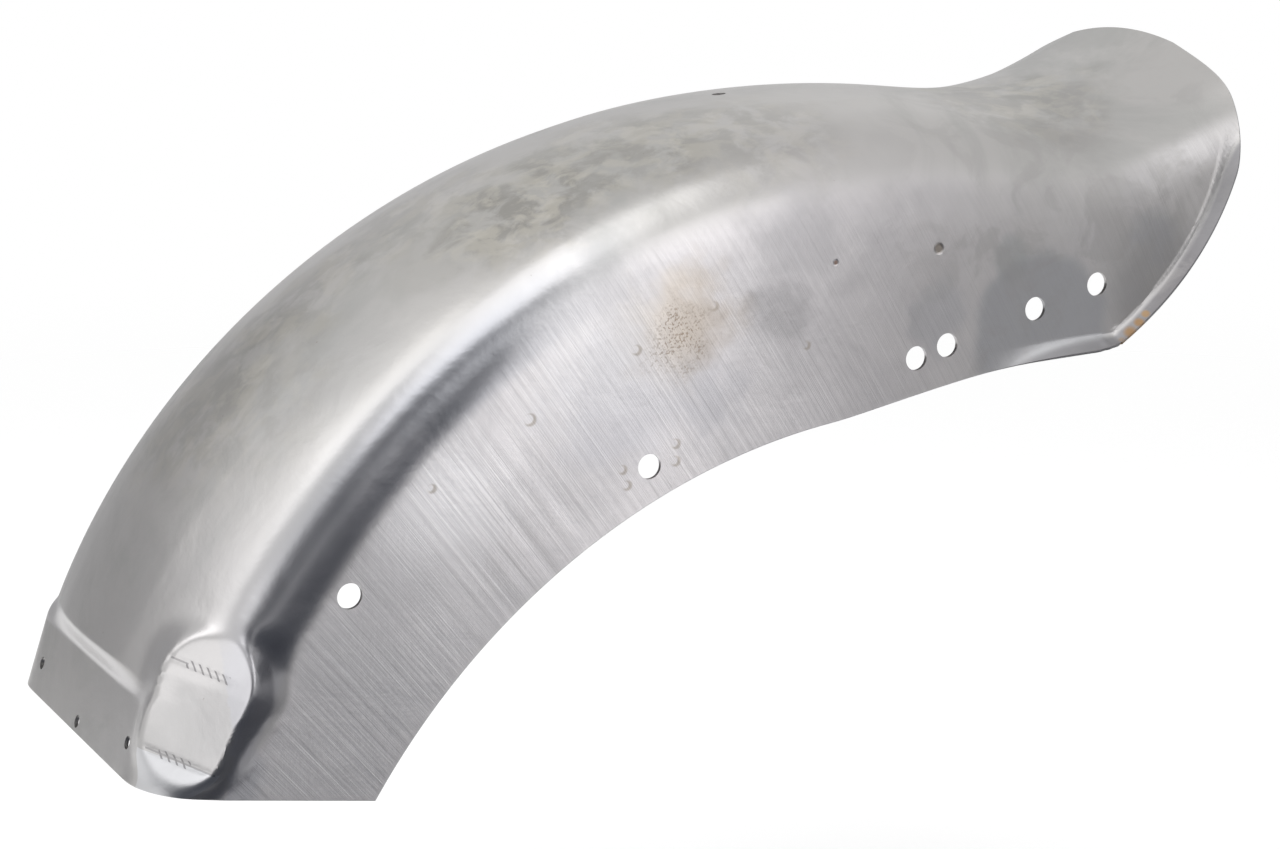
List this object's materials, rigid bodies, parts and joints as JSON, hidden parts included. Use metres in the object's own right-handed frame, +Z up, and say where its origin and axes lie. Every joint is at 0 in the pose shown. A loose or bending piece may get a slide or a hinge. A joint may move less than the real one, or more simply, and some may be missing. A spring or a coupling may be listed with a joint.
{
  "type": "motorcycle rear fender",
  "caption": "Bare steel bobtail rear fender for a motorcycle: domed crown, flat bolt-on skirts, joggled front tab and upswept tail with a flared lip.",
  "frame": {"origin": "centre of the two outer screw holes of the front tab, on the tab's outer face and the fender's mid-plane", "axes": "+X rearward along the motorcycle, +Y to the motorcycle's right, +Z up, as the fender sits on the motorcycle"},
  "size_m": [0.5455, 0.21, 0.2991],
  "materials": {
    "bare_steel": "bare pressed steel, brushed skirts, light stains"
  },
  "bodies": {
    "root": {"fender_shell": "bare_steel"}
  },
  "joints": []
}
